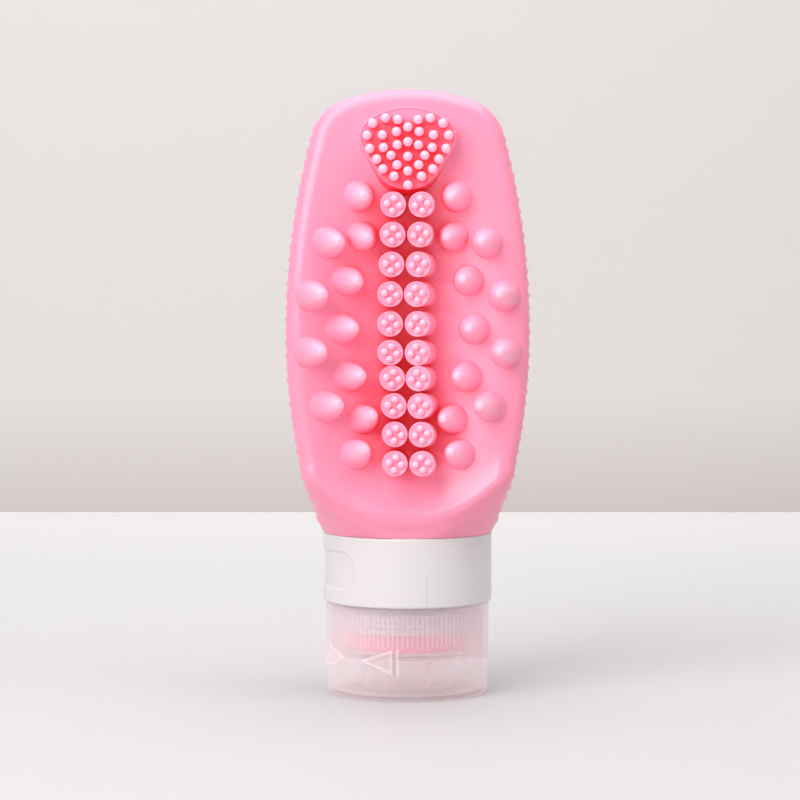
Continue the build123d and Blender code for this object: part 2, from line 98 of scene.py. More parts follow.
def turned(radius, turn, height):
    """Points round the Z axis: x = r cos t, y = r sin t, z = height."""
    return np.stack([radius * np.cos(turn), radius * np.sin(turn), height + 0 * turn], axis=-1)


def lathe(profile, columns):
    """Turns (radius, height) pairs once about the Z axis, one row for each pair."""
    profile = np.asarray(profile, float)
    return turned(profile[:, :1], np.linspace(0, 2 * np.pi, columns + 1), profile[:, 1:])


def rounded(points, radius, steps=4):
    """Rounds each inner corner of a polyline with a short curve through its two neighbours.

    Each corner P is replaced by the parabola from P + a to P + b, with a and b of the given
    length along the two sides: (1-t)^2 (P+a) + 2 t (1-t) P + t^2 (P+b)."""
    points = np.asarray(points, float)
    share = np.linspace(0, 1, steps + 1)[:, None]
    out = [points[:1]]
    for before, here, after in zip(points[:-2], points[1:-1], points[2:]):
        back, ahead = before - here, after - here
        reach = min(radius, np.linalg.norm(back) / 2, np.linalg.norm(ahead) / 2)
        start = here + back / np.linalg.norm(back) * reach
        end = here + ahead / np.linalg.norm(ahead) * reach
        out.append((1 - share) ** 2 * start + 2 * share * (1 - share) * here + share**2 * end)
    out.append(points[-1:])
    return np.concatenate(out)


def dome(radius, low, high, steps=5):
    """Quarter ellipse from (radius, low) to (0, high): radius cos t, low + (high - low) sin t."""
    turn = np.linspace(0, np.pi / 2, steps + 1)
    return np.stack([radius * np.cos(turn), low + (high - low) * np.sin(turn)], axis=-1)


# %% [markdown]
# ## The pouch as formulas
# Seen from the front, the pouch is bounded by circular arcs: two on each side, a corner and
# the crown. Seen from the side, its faces follow a parabola. The brush face is pressed in
# as a dish, a squared cosine across the width that fades up and down. The real silicone is
# soft and leans a little, so the dish's deepest line lies left of the middle.

# %% Sizes of the pouch
BASE, WIDEST, TOP = 37.65, 85.0, 139.98
HALF_WIDTH = 27.75
SIDE_LOW, SIDE_HIGH, CROWN, CORNER = 151.0, 174.0, 46.0, 11.0
HALF_DEPTHS = [19.4, 18.4, 13.2]
DEPTHS = np.polyfit([BASE, WIDEST, TOP], HALF_DEPTHS, 2)
DISH_DEEP, DISH_HEIGHT, DISH_UP, DISH_DOWN = 8.0, 74.0, 52.0, 30.5
DISH_WIDTH_SHARE, DISH_RIM_SHARE = 0.97, 0.03
DISH_POWER_UP, DISH_POWER_DOWN = 2.0, 2.5
DISH_OFFSET, DISH_SOFT = -3.0, 0.3
LEAN_LOW, LEAN_HIGH = (50, 74), (92, 112)
CREST_LOW, CREST_BEND, CREST_FLARE, CREST_SLANT = 41.4, 0.017, 1.2e-5, 0.034
CREST_RISE, CREST_ABOVE, CREST_BELOW = 0.95, 3.2, 2.0
EDGE = 3.5
WALL = 1.9
INSET_BASE, INSET_EDGE, INSET_SHOULDER = 1.4, 0.9, 0.6


def smooth_step(value, low, high):
    """Runs from 0 at low to 1 at high with level ends: 3 s^2 - 2 s^3."""
    share = np.clip((value - low) / (high - low), 0, 1)
    return share * share * (3 - 2 * share)


def half_depth(height):
    """Parabola through three depths: how far the faces lie from the middle plane."""
    return np.polyval(DEPTHS, height)


def half_width(height):
    """Side arcs: the radius's reach across, less the arc's centre offset."""
    radius = np.where(height > WIDEST, SIDE_HIGH, SIDE_LOW)
    return HALF_WIDTH - radius + np.sqrt(radius**2 - (height - WIDEST) ** 2)


def squeeze(height):
    """Where the soft pouch leans: 1 over the middle, fading out towards both ends."""
    return smooth_step(height, *LEAN_LOW) * (1 - smooth_step(height, *LEAN_HIGH))


def dish(across, height):
    """Depth of the dish: cos^2 across, times what is left of it at this height.

    The rim is softened: (d + sqrt(d^2 + soft)) / 2 never falls below zero."""
    up = np.clip((height - DISH_HEIGHT) / DISH_UP, 0, None) ** DISH_POWER_UP
    down = np.clip((DISH_HEIGHT - height) / DISH_DOWN, 0, None) ** DISH_POWER_DOWN
    fade = np.clip(1 - up - down, 0, None)
    reach = half_width(height) * DISH_WIDTH_SHARE
    deepest = DISH_OFFSET * squeeze(height)
    side = np.where(across < deepest, reach + deepest, reach - deepest)
    wave = np.cos(np.pi / 2 * np.clip((across - deepest) / side, -1, 1)) ** 2
    depth = DISH_DEEP * (fade * wave - DISH_RIM_SHARE)
    return (depth + np.sqrt(depth**2 + DISH_SOFT)) / 2


def crest(across, height):
    """The soft ridge that bounds the dish below: a bell across a curve that rises to both sides."""
    middle = CREST_LOW + CREST_BEND * across**2 + CREST_FLARE * across**4
    off = (height - middle) / np.sqrt(1 + (CREST_SLANT * across) ** 2)
    width = np.where(off > 0, CREST_ABOVE, CREST_BELOW)
    return CREST_RISE * np.exp(-((off / width) ** 2))


def face_y(across, height):
    """The brush face, as Y for a place across and up."""
    return dish(across, height) - crest(across, height) - half_depth(height)


print("deepest place of the dish:", round(float(dish(DISH_OFFSET, DISH_HEIGHT)), 2), "mm")

# %% [markdown]
# ## The outline and its normals
# The front outline is one list of points with, for each, the direction that points straight
# out of it. An inset wall uses the same arcs with smaller radii, so the inside of the pouch
# comes from the same function as its outside. Its base, soft edge and shoulder move by
# shares of the inset.


# %% Outline of the right half
def meeting(centre_a, radius_a, centre_b, radius_b):
    """Where two circles cross: along the line of centres, then out at a right angle."""
    between = centre_b - centre_a
    gap = np.linalg.norm(between)
    along = (radius_a**2 - radius_b**2 + gap**2) / (2 * gap)
    across = np.sqrt(radius_a**2 - along**2)
    unit = between / gap
    return centre_a + unit * along + np.array([-unit[1], unit[0]]) * across


def outline(inset, side_step, crown_step):
    """Points and outward normals of the right half, from the base to the crown's middle."""
    low_centre = np.array([HALF_WIDTH - SIDE_LOW, WIDEST])
    high_centre = np.array([HALF_WIDTH - SIDE_HIGH, WIDEST])
    crown_centre = np.array([0.0, TOP - CROWN])
    corner_centre = meeting(high_centre, SIDE_HIGH - CORNER, crown_centre, CROWN - CORNER)
    to_corner = corner_centre - high_centre
    from_crown = corner_centre - crown_centre
    turn_side = np.arctan2(to_corner[1], to_corner[0])
    turn_crown = np.arctan2(from_crown[1], from_crown[0])
    turn_base = -np.arcsin((WIDEST - BASE - INSET_BASE * inset) / SIDE_LOW)
    arcs = [
        (low_centre, SIDE_LOW, turn_base, 0, side_step),
        (high_centre, SIDE_HIGH, 0, turn_side, side_step),
        (corner_centre, CORNER, turn_side, turn_crown, crown_step),
        (crown_centre, CROWN, turn_crown, np.pi / 2, crown_step),
    ]
    places, normals = [], []
    for centre, radius, start, end, step in arcs:
        count = max(3, round((end - start) * radius / step))
        turn = np.linspace(start, end, count + 1)[1 if places else 0 :]
        normal = np.stack([np.cos(turn), np.sin(turn)], axis=-1)
        places.append(centre + normal * (radius - inset))
        normals.append(normal)
    return np.concatenate(places), np.concatenate(normals)


# %% [markdown]
# ## The skin
# The skin is one table. Each row leaves the middle line of the brush face, runs to the
# outline, turns round the soft edge, crosses the side band and comes back over the rear
# face to the middle line. The other half is its mirror image, except for the dish. Below,
# the corners are drawn in to a circle that sits on the collar.
#
# The grip on each side is a file of small pointed ribs. They are added by moving the band's
# points straight out, so they need about eight rows for each rib.

# %% Skin of the pouch
SHOULDER, SHOULDER_OPENS = [(19.7, 37.65), (21.9, 40.85), (34.0, 54.15)], 0.95
TOOTH_PITCH, TOOTH_WIDTH, TOOTH_RISE, TOOTH_COUNT, TOOTH_MIDDLE = 2.75, 1.9, 0.5, 34, 86.0
TOOTH_VALLEY, VALLEY_SPAN, TOOTH_FADE = 0.3, 0.3, (0.84, 0.98)
SPINE_BEND, SPINE_SHARE, SPINE_REACH = 112, 0.57, 28
SOFT_LEAST, SOFT_MORE, SOFT_FROM, SOFT_TO = 1.2, 3.3, 38.5, 44
FACE_COLUMNS, BAND_COLUMNS, EDGE_STEPS = 32, 24, 7


def shoulder_limit(height):
    """Radius of the turned shoulder: a parabola in z through three places, then a cone."""
    radii, heights = zip(*SHOULDER)
    bend = np.polyfit(heights, radii, 2)
    above = radii[-1] + SHOULDER_OPENS * (height - heights[-1])
    return np.where(height < heights[-1], np.polyval(bend, height), above)


def tooth(height):
    """Height of the grip ribs: a tent once every pitch, inside the ribbed band, less a valley."""
    place = (height - TOOTH_MIDDLE) / TOOTH_PITCH + TOOTH_COUNT / 2
    inside = (place > 0) & (place < TOOTH_COUNT)
    tent = 1 - np.abs(place % 1 - 0.5) * 2 * TOOTH_PITCH / TOOTH_WIDTH
    valley = np.clip(-tent, 0, VALLEY_SPAN) / VALLEY_SPAN
    return inside * (TOOTH_RISE * np.clip(tent, 0, None) - TOOTH_VALLEY * valley)


def half_skin(side, inset, side_step, crown_step, teeth):
    """One half of the pouch; side is 1 for +X and -1 for -X.

    A row is: middle line to edge, quarter turn, side band, quarter turn, back to the middle
    line. Near the neck the distance from the axis is held to the turned shoulder by a smooth
    minimum of the two radii."""
    edge = EDGE - inset * INSET_EDGE
    places, normals = outline(inset, side_step, crown_step)
    inner = places - normals * edge
    height = places[:, 1]
    past = np.clip(height - SPINE_BEND, 0, None)
    spine = np.minimum(height, SPINE_BEND) + past * SPINE_SHARE - inset * past / SPINE_REACH
    spread = np.linspace(0, 1, FACE_COLUMNS)[None, :, None]
    start = np.stack([0 * spine, spine], axis=-1)[:, None]
    flat = start + (inner[:, None] - start) * spread
    turn = np.linspace(0, np.pi / 2, EDGE_STEPS)[None, 1:, None]
    bend = inner[:, None] + normals[:, None] * edge * np.sin(turn)
    drop = edge * (1 - np.cos(turn[..., 0]))
    rim_front = face_y(side * inner[:, 0], inner[:, 1]) + inset
    rim_back = half_depth(inner[:, 1]) - inset
    front_y = face_y(side * flat[..., 0], flat[..., 1]) + inset
    back_y = half_depth(flat[..., 1]) - inset
    across = np.linspace(0, 1, BAND_COLUMNS + 1)[None, 1:-1]
    low, high = (rim_front + edge)[:, None], (rim_back - edge)[:, None]
    band_y = low + (high - low) * across
    band = np.repeat(places[:, None], BAND_COLUMNS - 1, axis=1)
    if teeth:
        fade = 1 - smooth_step(np.abs(2 * across[0] - 1), *TOOTH_FADE)
        rise = tooth(band[..., 1]) * fade
        band = band + normals[:, None] * rise[..., None]
    plan = np.concatenate([flat, bend, band, bend[:, ::-1], flat[:, ::-1]], axis=1)
    bend_front, bend_back = rim_front[:, None] + drop, rim_back[:, None] - drop
    depth = np.concatenate(
        [front_y, bend_front, band_y, bend_back[:, ::-1], back_y[:, ::-1]], axis=1
    )
    x, y, z = plan[..., 0], depth, plan[..., 1]
    radius = np.hypot(x, y)
    limit = shoulder_limit(z - inset * INSET_SHOULDER) - inset
    soft = SOFT_LEAST + SOFT_MORE * smooth_step(z, SOFT_FROM, SOFT_TO)
    blend = np.clip(0.5 + 0.5 * (limit - radius) / soft, 0, 1)
    held = limit + (radius - limit) * blend - soft * blend * (1 - blend) / 2
    factor = held / np.maximum(radius, 1e-6)
    return np.stack([side * x * factor, y * factor, z], axis=-1)


FINE_SIDE, FINE_CROWN, COARSE = 0.34, 0.9, 3.0
outer = [half_skin(side, 0, FINE_SIDE, FINE_CROWN, True) for side in (1, -1)]
inner = [half_skin(side, WALL, COARSE, COARSE, False) for side in (1, -1)]
print("rows of the skin, outside and inside:", len(outer[0]), len(inner[0]))

# %% [markdown]
# ## Neck and sealing lip
# The neck is a tube of the same silicone. Its bead lies against the deck of the cap and
# seals it, and it shows as a pink band through the frosted skirt. A ring of points leads
# from the skin's lowest row to the neck, and another joins the bore to the inner wall.

# %% Neck, lip and the closing rings
NECK, BORE, LIP_LOW, LIP_HIGH, LIP_OUT = 13.4, 11.3, 10.65, 14.9, 14.35
BORE_TOP, LIP_ROUND = 38.6, 0.5


def ring_towards(row, radius, height, shares):
    """Blends a closed row of points into a circle of the same directions, share by share."""
    turn = np.arctan2(row[:, 1], row[:, 0])
    shares = np.asarray(shares)[:, None, None]
    return row[None] * (1 - shares) + turned(radius, turn, height)[None] * shares


def closed_row(halves):
    """The lowest rows of both halves, joined into one loop."""
    return np.concatenate([halves[0][0], halves[1][0][::-1]])


outer_foot = closed_row(outer)
inner_foot = closed_row(inner)
foot_radius = np.hypot(outer_foot[:, 0], outer_foot[:, 1])
flat_foot = outer_foot * (np.minimum(foot_radius, SHOULDER[0][0]) / foot_radius)[:, None]
flat_foot[:, 2] = BASE
to_collar = np.stack([outer_foot, flat_foot])
under = ring_towards(flat_foot, NECK, BASE, [0, 0.35, 0.7, 1])
neck_outline = rounded(
    [(NECK, BASE), (NECK, LIP_HIGH), (LIP_OUT, LIP_HIGH), (LIP_OUT, LIP_LOW), (BORE, LIP_LOW),
     (BORE, BORE_TOP)],
    LIP_ROUND,
)
turn = np.arctan2(outer_foot[:, 1], outer_foot[:, 0])
neck_tube = turned(neck_outline[:, :1], turn, neck_outline[:, 1:])
into_pouch = np.stack([neck_tube[-1], inner_foot])
pouch_grids = [*outer, to_collar, under, neck_tube, into_pouch, *inner]
pouch = make_piece("silicone_pouch", pouch_grids, "bottle")
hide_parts("bottle_body")

# %% [markdown]
# ## Where nubs and posts stand
# A nub stands on the dished face. Its local frame needs a point on the face and a direction
# to grow in. The direction starts as the face's normal, found from two small steps across
# and up, and then leans as the soft one in the hand does.


# %% Standing places on the face
def face_point(across, height):
    """Points on the brush face."""
    return np.stack([across, face_y(across, height), height], axis=-1)


def face_normal(across, height, step=0.05):
    """Cross product of the two small steps, turned to look out of the face, length 1."""
    right = face_point(across + step, height) - face_point(across - step, height)
    up = face_point(across, height + step) - face_point(across, height - step)
    normal = np.cross(right, up)
    return normal / np.linalg.norm(normal, axis=-1, keepdims=True)


def local_axes(grow):
    """For each growing direction, a sideways and an upward axis at right angles to it."""
    side = np.cross([0.0, 0.0, 1.0], grow)
    side /= np.linalg.norm(side, axis=-1, keepdims=True)
    return side, np.cross(grow, side)


def stand(shape, places, grow):
    """Copies a shape, points in (side, up, out) coordinates, to every place at once."""
    side, up = local_axes(grow)
    axes = np.stack([side, up, grow], axis=1)
    copies = np.einsum("rcx,kxy->krcy", shape, axes) + places[:, None, None]
    return list(copies)


# %% [markdown]
# ## Massage nubs
# Eleven nubs on each side, cast in one piece with the skin. Each is a rounded cone, so a profile is
# turned about its own axis. Its foot is sunk into the wall. Light passes through the thin silicone,
# and this is painted: the tips are painted paler and glow, so every point also keeps how far up its
# nub it lies, for the finish.

# %% Nubs
NUB_TALL, NUB_LEAN_OVER = 7.42, 7.5
NUB_LEFT = [
    (-11.1, 115.4, 1.5), (-10.5, 106.3, 1.8), (-18.0, 104.8, 3.1), (-13.9, 96.3, 3.0),
    (-21.7, 92.8, 3.0), (-15.3, 85.3, 3.7), (-22.0, 80.0, 3.2), (-13.7, 74.4, 3.8),
    (-18.6, 67.7, 3.6), (-10.4, 64.6, 2.8), (-12.0, 56.7, 2.6),
]
NUB_RIGHT = [
    (11.1, 115.4, -1.5), (10.5, 106.3, -1.8), (18.0, 104.8, -1.6), (13.9, 96.3, -1.6),
    (21.7, 92.8, -1.1), (15.3, 85.3, -1.6), (22.0, 80.0, -1.5), (13.7, 74.4, -2.8),
    (18.6, 67.7, -2.7), (10.4, 64.6, -2.6), (12.0, 56.7, -2.6),
]
nub_profile = np.concatenate(
    [
        [(0, -1.2), (3.0, -1.2)],
        rounded(
            [(3.9, -0.6), (3.47, 0.15), (3.3, 1.2), (2.72, 3.6), (1.95, 5.4), (1.2, 6.75),
             (0.85, 7.38), (0, NUB_TALL)],
            1.0,
            3,
        ),
    ]
)
nub_shape = lathe(nub_profile, 32)
nub_places = np.array(NUB_LEFT + NUB_RIGHT)
nub_feet = face_point(nub_places[:, 0], nub_places[:, 1])
nub_grow = face_normal(nub_places[:, 0], nub_places[:, 1])
nub_grow[:, 0] = nub_places[:, 2] / NUB_LEAN_OVER
nub_grow /= np.linalg.norm(nub_grow, axis=-1, keepdims=True)
nubs = make_piece("massage_nubs", stand(nub_shape, nub_feet, nub_grow), "bottle")


# The share up each nub is the mask for painted light: the tips are painted paler and given a
# painted glow.
def keep_share_up(piece, feet, grow, tall):
    """Stores (point - nearest foot) . growing direction / height, from 0 to 1, as tip_light_share."""
    flat = np.empty(len(piece.data.vertices) * 3)
    piece.data.vertices.foreach_get("co", flat)
    off = flat.reshape(-1, 1, 3) / MM - feet
    middle = off - grow * tall / 2
    nearest = np.argmin(np.linalg.norm(middle, axis=2), axis=1)
    up = np.sum(off[np.arange(len(off)), nearest] * grow[nearest], axis=1)
    share = np.clip(up / tall, 0, 1)
    piece.data.attributes.new("tip_light_share", "FLOAT", "POINT").data.foreach_set("value", share)
    print("mean share up:", round(float(share.mean()), 2))


keep_share_up(nubs, nub_feet, nub_grow, NUB_TALL)

# %% [markdown]
# ## Brush posts
# Two files of ten posts rise from the deepest part of the dish. Each ends in a flat disc with
# a fine bead round it, and four small pins stand on the disc. In the picture the ends are
# seen square on, so each post is drawn to point at the eye, and the right file leans a
# little to the left.

# %% Posts and their pins
POST_HEIGHT, POST_RADIUS, POST_DISC = 10.0, 2.88, 9.65
PIN_RADIUS, PIN_TALL, PIN_FOOT, PIN_OFF = 0.76, 1.48, 9.4, 1.4
LEAN_LEFT, LEAN_RIGHT, LEAN_AT_ENDS = -0.3, 1.9, 0.25
PIN_TURN_LEFT, PIN_TURN_RIGHT = -9.0, 10.0
EYE_ACROSS, EYE_HEIGHT, EYE_DISTANCE = -1.76, 96.4, 613.0
POST_HEIGHTS = np.array([113.3, 106.6, 99.9, 93.2, 86.5, 80.0, 74.2, 68.0, 61.6, 55.1])
POST_TOP_LEFT = [-3.29, -3.40, -3.63, -3.92, -3.92, -3.90, -3.45, -3.11, -2.89, -2.89]
POST_TOP_RIGHT = [3.02, 2.69, 2.31, 1.84, 2.02, 2.02, 2.20, 2.64, 2.98, 3.14]
post_profile = np.concatenate(
    [
        [(0, -1.2), (2.6, -1.2)],
        rounded(
            [(3.5, -0.5), (3.0, 0.3), (2.92, 4.0), (POST_RADIUS, POST_DISC), (2.6, POST_DISC),
             (2.38, 9.5), (0.0, 9.45)],
            0.16,
            3,
        ),
    ]
)
post_shape = lathe(post_profile, 40)
pin_profile = np.concatenate(
    [[(0, -0.4), (0.82, -0.4), (0.79, 0.4)], dome(PIN_RADIUS, 0.75, PIN_TALL)]
)
pin_shape = lathe(pin_profile, 16)
post_feet, post_tops = [], []
for tops, lean in ((POST_TOP_LEFT, LEAN_LEFT), (POST_TOP_RIGHT, LEAN_RIGHT)):
    share = LEAN_AT_ENDS + (1 - LEAN_AT_ENDS) * squeeze(POST_HEIGHTS)
    across = np.array(tops) + lean * share
    height = POST_HEIGHTS + (POST_HEIGHTS - EYE_HEIGHT) * POST_HEIGHT / EYE_DISTANCE
    foot = face_point(across, height)
    top = np.stack([np.array(tops), foot[:, 1] - POST_HEIGHT, POST_HEIGHTS], axis=-1)
    post_feet.append(foot)
    post_tops.append(top)
post_feet, post_tops = np.concatenate(post_feet), np.concatenate(post_tops)
post_grow = post_tops - post_feet
post_grow /= np.linalg.norm(post_grow, axis=-1, keepdims=True)
posts = make_piece("brush_posts", stand(post_shape, post_feet, post_grow), "bottle")

pin_grids = []
side_axis, up_axis = local_axes(post_grow)
pin_turn = np.radians(np.repeat([PIN_TURN_LEFT, PIN_TURN_RIGHT], len(POST_HEIGHTS)))
for quarter in range(4):
    around = pin_turn + np.pi / 2 * quarter
    offset = side_axis * np.cos(around)[:, None] + up_axis * np.sin(around)[:, None]
    pin_feet = post_feet + post_grow * PIN_FOOT + offset * PIN_OFF
    pin_grids += stand(pin_shape, pin_feet, post_grow)
pins = make_piece("brush_post_pins", pin_grids, "bottle")

# %% [markdown]
# ## Scrub pad
# The pad near the crown is a low plateau. Its outline is a rounded triangle with its point
# down: the tight band round a few circles. Such a band is found by asking, for every
# direction, which circle reaches out farthest. Its points are then spaced evenly, and inset
# rows make the bead and the top. The long pins on it all point straight out of the mould.

# %% Pad and its pins
PAD_HEIGHT, PAD_RISE, PAD_SINK, PAD_FLAT = 126.4, 3.3, -1.6, 0.2
PAD_CORNER = 4.4
PAD_SIDE_CIRCLES = [(2.2, 4.27), (4.4, 3.54), (6.55, 2.2)]
PAD_CIRCLES = np.array(
    [(0.0, -2.7, 7.4), (0.0, 4.5, PAD_CORNER)]
    + [(side * x, z, PAD_CORNER) for x, z in PAD_SIDE_CIRCLES for side in (-1, 1)]
)


def band_round(circles, count):
    """Points and normals of the tight band: centre + radius * direction of the farthest circle."""
    turn = np.linspace(0, 2 * np.pi, 4 * 360 + 1)
    ways = np.stack([np.cos(turn), np.sin(turn)], axis=-1)
    reach = ways @ circles[:, :2].T + circles[:, 2]
    best = circles[np.argmax(reach, axis=1)]
    places = best[:, :2] + best[:, 2:] * ways
    length = np.concatenate([[0], np.cumsum(np.linalg.norm(np.diff(places, axis=0), axis=1))])
    even = np.linspace(0, length[-1], count + 1)
    place = np.stack([np.interp(even, length, places[:, i]) for i in (0, 1)], axis=-1)
    normal = np.stack([np.interp(even, length, ways[:, i]) for i in (0, 1)], axis=-1)
    return place, normal / np.linalg.norm(normal, axis=-1, keepdims=True)


pad_place, pad_normal = band_round(PAD_CIRCLES, 120)
pad_section = rounded(
    [(0.55, PAD_SINK), (0.25, 0.2), (0.0, PAD_RISE), (-0.32, PAD_RISE), (-0.55, PAD_RISE - 0.18),
     (-2.0, PAD_RISE - PAD_FLAT)],
    0.2,
    3,
)


def raised(plan, height):
    """The plan's points, all at one height."""
    return np.concatenate([plan, np.full((len(plan), 1), height)], axis=-1)


pad_rows = [
    raised(pad_place * 0, PAD_SINK),
    *(raised(pad_place + pad_normal * out, up) for out, up in pad_section),
    *(raised(pad_place * share, PAD_RISE - PAD_FLAT) for share in (0.5, 0.0)),
]
pad_grow = face_normal(np.array([0.0]), np.array([PAD_HEIGHT]))
pad_origin = np.array([[0.0, -half_depth(PAD_HEIGHT), PAD_HEIGHT]])
pad = make_piece("scrub_pad", stand(np.stack(pad_rows), pad_origin, pad_grow), "bottle")

PAD_MIDDLE = [130.8, 127.5, 124.2, 120.9, 117.75]
PAD_PAIRS = [
    (5.06, 132.9), (2.29, 132.5), (7.9, 131.7), (2.57, 129.8), (5.76, 129.05), (9.2, 129.0),
    (2.4, 126.8), (5.49, 126.2), (8.58, 126.0), (3.8, 124.45), (7.01, 123.6), (2.44, 122.3),
    (5.6, 121.4), (3.08, 119.75),
]
PAD_PIN_RADIUS, PAD_PIN_TALL, PAD_PIN_SINK = 1.06, 3.75, 0.4
pad_pin_plan = [(0.0, z) for z in PAD_MIDDLE] + [(s * x, z) for x, z in PAD_PAIRS for s in (-1, 1)]
pad_pin_plan = np.array(pad_pin_plan)
pad_side, pad_up = local_axes(pad_grow)
pad_foot = pad_origin + (PAD_RISE - PAD_PIN_SINK) * pad_grow
pad_rise = (pad_pin_plan[:, 1:] - pad_foot[:, 2:]) / pad_up[:, 2:]
pad_pin_feet = pad_foot + pad_pin_plan[:, :1] * pad_side + pad_rise * pad_up
pad_pin_profile = np.concatenate(
    [[(0, 0), (1.14, 0), (1.1, 0.6)], dome(PAD_PIN_RADIUS, 2.7, PAD_PIN_TALL)]
)
straight_out = np.tile([0.0, -1.0, 0.0], (len(pad_pin_feet), 1))
pad_pin_grids = stand(lathe(pad_pin_profile, 18), pad_pin_feet, straight_out)
pad_pins = make_piece("scrub_pad_pins", pad_pin_grids, "bottle")

# %% [markdown]
# ## The outer ring
# The ring is one turned band. Its shallow recess has a rounded end, so its depth depends on
# the distance to a stadium shape, measured along the wall. A short index line stands near
# the front.

# %% Outer ring
RING_RADIUS, RING_LOW, RING_HIGH, RING_BORE = 19.69, 21.6, 37.6, 18.5
RECESS_TURN, RECESS_HALF_TURN, RECESS_LOW, RECESS_TALL = -80.0, 41.0, 25.25, 8.7
RECESS_DEEP, RECESS_EDGE = 0.33, (-0.12, 0.22)
MARK_TURN, MARK_DEEP, MARK_EDGE, MARK_TOP = 14.0, 0.12, (0.05, 0.3), (29.0, 29.5)


def along_wall(turn, middle):
    """Distance along the wall from an angle in degrees: the shorter way round times the radius."""
    away = (np.degrees(turn) - middle + 180) % 360 - 180
    return np.abs(np.radians(away)) * RING_RADIUS


def ring_wall(turn, height):
    """Radius of the wall: less the recess where inside the stadium, less the index line."""
    along = along_wall(turn, RECESS_TURN)
    half_tall = RECESS_TALL / 2
    straight = np.radians(RECESS_HALF_TURN) * RING_RADIUS - half_tall
    rise = height - RECESS_LOW - half_tall
    off = np.hypot(np.clip(along - straight, 0, None), rise) - half_tall
    recess = RECESS_DEEP * smooth_step(-off, *RECESS_EDGE)
    line = 1 - smooth_step(along_wall(turn, MARK_TURN), *MARK_EDGE)
    mark = MARK_DEEP * line * (1 - smooth_step(height, *MARK_TOP))
    return RING_RADIUS - recess - mark


ring_turn = np.radians(np.linspace(-180, 180, 601))


def from_front(radius, height):
    """Rows round the ring, counted from the front: x = r sin t, y = -r cos t, z = height."""
    x, y = radius * np.sin(ring_turn), -radius * np.cos(ring_turn)
    return np.stack([x, y, height + 0 * ring_turn], axis=-1)


INSIDE, WALL_LOW, WALL_HIGH, WALL_ROWS = 30.0, 22.0, 37.2, 62
wall_heights = np.linspace(WALL_LOW, WALL_HIGH, WALL_ROWS)[:, None]
outer_wall = from_front(ring_wall(ring_turn[None], wall_heights), wall_heights)
lower_lip, upper_lip = [
    from_front(*np.array(lip).T[..., None])
    for lip in (
        [(RING_BORE, INSIDE), (RING_BORE, 21.75), (18.6, RING_LOW), (19.3, RING_LOW),
         (19.6, 21.75)],
        [(19.62, 37.5), (19.5, RING_HIGH), (17.35, RING_HIGH), (17.35, 36.95), (RING_BORE, 36.9),
         (RING_BORE, INSIDE)],
    )
]
ring_rows = np.concatenate([lower_lip, outer_wall, upper_lip])
ring = make_piece("outer_ring", [ring_rows], "outer_ring")
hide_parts("window_ring")

# %% [markdown]
# ## Thread collar
# The hard collar round the silicone neck carries the thread. A thread is a ridge whose
# height along the axis grows with the turn, so the wall's radius depends on the height less
# the lead times the turn.

# %% Collar with its thread
THREAD_LOW, THREAD_HIGH, LEAD = 14.95, 20.6, 3.0
THREAD_CORE, THREAD_DEEP, THREAD_ROUND = 15.5, 0.75, 0.7
THREAD_STARTS, THREAD_ENDS = (0.3, 1.2), (-1.0, 0.0)
COLLAR_COLUMNS, THREAD_ROWS = 144, 40
collar_turn = np.linspace(0, 2 * np.pi, COLLAR_COLUMNS + 1)


def thread_radius(turn, height):
    """Core radius plus a rounded ridge once each lead, faded out at both ends of the thread."""
    place = (height - LEAD * turn / (2 * np.pi)) / LEAD
    ridge = np.clip(np.cos(2 * np.pi * place), 0, None) ** THREAD_ROUND
    starts = smooth_step(height, *(THREAD_LOW + off for off in THREAD_STARTS))
    ends = smooth_step(height, *(THREAD_HIGH + off for off in THREAD_ENDS))
    return THREAD_CORE + THREAD_DEEP * ridge * (starts * (1 - ends))


thread_heights = np.linspace(THREAD_LOW, THREAD_HIGH, THREAD_ROWS)[:, None]
thread_wall = thread_radius(collar_turn[None], thread_heights)
thread_rows = turned(thread_wall, collar_turn, thread_heights)
collar_above = rounded(
    [(THREAD_CORE, 20.7), (THREAD_CORE, 21.9), (18.4, 21.9), (18.4, 23.15), (17.25, 23.15),
     (17.25, 37.6), (16.05, 37.6), (16.05, 23.15), (14.7, 23.15), (14.7, 37.6), (13.5, 37.6),
     (13.5, 14.95), (15.4, 14.95), (THREAD_CORE, THREAD_LOW)],
    0.2,
    2,
)
collar_rows = np.concatenate([thread_rows, lathe(collar_above, COLLAR_COLUMNS)])
collar = make_piece("threaded_collar", [collar_rows], "bottle")
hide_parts("thread_collar")

# %% [markdown]
# ## Dosing valve
# Behind the nozzle sits a small soft dome on a flange. It is turned from one profile. Its
# cross cut is closed at rest and lies deep inside the cap, so it isn't drawn.

# %% Valve
valve_profile = rounded(
    [(0, 8.8), (2.6, 8.8), (3.75, 9.4), (3.9, 10.65), (5.7, 10.65), (5.7, 11.45), (3.3, 11.45),
     (3.25, 9.6), (0, 9.45)],
    0.4,
)
valve = make_piece("valve_dome", [lathe(valve_profile, 64)], "valve_group")
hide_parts("dosing_valve")

# %% [markdown]
# ## Ridges of the butterfly hinge
# Two three-cornered webs join the cap and the lid. Each has a raised ridge on its three
# edges, and an upright ridge stands beside its free edge, half on the cap and half on the
# lid. A ridge is a straight rod with round ends, laid between two points of the web's plane.

# %% Hinge ridges
FOLD_HEIGHT, FOLD_RADIUS = 9.275, 18.875
WEB_MIDDLE, WEB_HALF_ANGLE, WEB_TALL = 20.0, 12.0, 2.9
HINGE_TURN = -43.0
WEB_TIP, WEB_BASE, WEB_CORNER, WEB_RIDGE = 0.6, 0.3, 0.45, 0.28
UPRIGHT_TURN, UPRIGHT_AT, UPRIGHT_RIDGE = 35.9, 19.22, 0.26
NO_ROD_WAY = [0.6, -0.8, 0.0]


